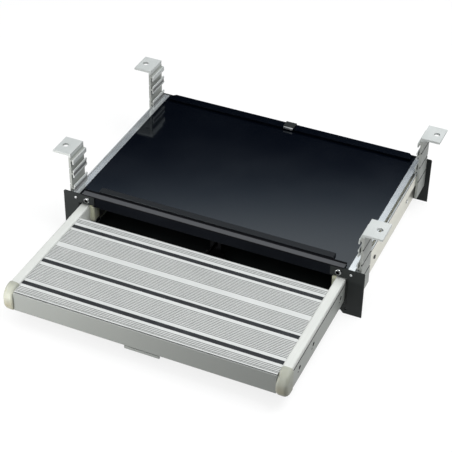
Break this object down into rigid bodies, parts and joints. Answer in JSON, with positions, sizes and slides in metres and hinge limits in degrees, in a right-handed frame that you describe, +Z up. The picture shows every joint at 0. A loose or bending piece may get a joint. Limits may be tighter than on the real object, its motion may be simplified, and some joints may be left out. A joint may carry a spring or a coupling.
{
  "type": "caravan pull-out step",
  "caption": "Pull-out entrance step for a caravan: a ribbed aluminium tread on side rails slides from a flat black housing hung on hooked floor brackets.",
  "frame": {"origin": "centre of the four floor bolt holes, on the brackets' top faces", "axes": "+Z up to the vehicle's floor, +Y rearwards into the housing (the step pulls out along -Y), +X to the right seen from the front"},
  "size_m": [0.718, 0.7506, 0.1972],
  "materials": {
    "aluminium": "satin anodised extrusion",
    "black_sheet": "semi-gloss black coated sheet",
    "ivory_nylon": "matt moulded nylon",
    "black_nylon": "matt black moulded nylon",
    "rubber": "matt charcoal rubber",
    "steel": "zinc plated"
  },
  "bodies": {
    "housing": {"guide_rail_left": "aluminium", "guide_rail_right": "aluminium", "cover_plate": "black_sheet", "cover_strip": "black_sheet", "front_cross_member": "black_sheet", "rear_cross_member": "black_sheet", "bottom_tray": "black_sheet", "front_plate_left": "black_sheet", "front_plate_right": "black_sheet", "rear_plate_left": "black_sheet", "rear_plate_right": "black_sheet", "front_bush_left": "black_nylon", "front_bush_right": "black_nylon", "wear_strip_left": "ivory_nylon", "wear_strip_right": "ivory_nylon", "wear_strip_screws": "steel", "end_plate_screws": "steel", "end_plate_rivets": "steel", "rear_catch": "steel", "rear_catch_clip": "black_sheet", "keeper_front": "black_nylon", "keeper_rear": "black_nylon"},
    "bracket_fl": {"bracket_front_left": "aluminium"},
    "bracket_fr": {"bracket_front_right": "aluminium"},
    "bracket_rl": {"bracket_rear_left": "aluminium"},
    "bracket_rr": {"bracket_rear_right": "aluminium"},
    "step": {"side_rail_left": "aluminium", "side_rail_right": "aluminium", "tread_rear_plank": "aluminium", "tread_front_plank": "aluminium", "rubber_strip_rear": "rubber", "rubber_strip_middle": "rubber", "rubber_strip_front": "rubber", "end_cap_left": "ivory_nylon", "end_cap_right": "ivory_nylon", "front_tie_bar": "aluminium", "middle_tie_bar": "aluminium", "rear_tie_bar": "aluminium", "latch_bar": "aluminium", "rail_screws": "steel", "stop_block_left": "ivory_nylon", "stop_block_right": "ivory_nylon", "rear_shoe_left": "ivory_nylon", "rear_shoe_right": "ivory_nylon", "lever_hangers": "steel", "lever_pin": "steel", "latch_spring": "steel", "latch_rivets": "steel", "return_spring": "steel"},
    "lever": {"release_lever": "aluminium"},
    "rod": {"push_rod": "steel", "release_wedge": "black_nylon"}
  },
  "joints": [
    {"name": "step_slide", "type": "slide", "parent": "housing", "child": "step", "axis": [0, 1, 0], "range_m": [0, 0.276], "deforming": ["latch_spring"]},
    {"name": "lever_pull", "type": "hinge", "parent": "step", "child": "lever", "pos_m": [0, -0.5171, -0.1565], "axis": [-1, 0, 0], "range_deg": [0, 20], "deforming": ["latch_spring", "return_spring"]},
    {"name": "rod_push", "type": "slide", "parent": "step", "child": "rod", "axis": [0, 1, 0], "range_m": [0, 0.0034], "stiffness_N_per_m": 3500, "springref_m": -0.002, "deforming": ["latch_spring", "return_spring"]},
    {"name": "bracket_fl_slide", "type": "slide", "parent": "housing", "child": "bracket_fl", "axis": [0, 1, 0], "range_m": [-0.007, 0.15]},
    {"name": "bracket_fr_slide", "type": "slide", "parent": "housing", "child": "bracket_fr", "axis": [0, 1, 0], "range_m": [-0.007, 0.15]},
    {"name": "bracket_rl_slide", "type": "slide", "parent": "housing", "child": "bracket_rl", "axis": [0, 1, 0], "range_m": [-0.15, 0]},
    {"name": "bracket_rr_slide", "type": "slide", "parent": "housing", "child": "bracket_rr", "axis": [0, 1, 0], "range_m": [-0.15, 0]}
  ],
  "couplings": [
    {"joint": "lever_pull", "follows": "rod_push", "rad_per_m": 100}
  ]
}
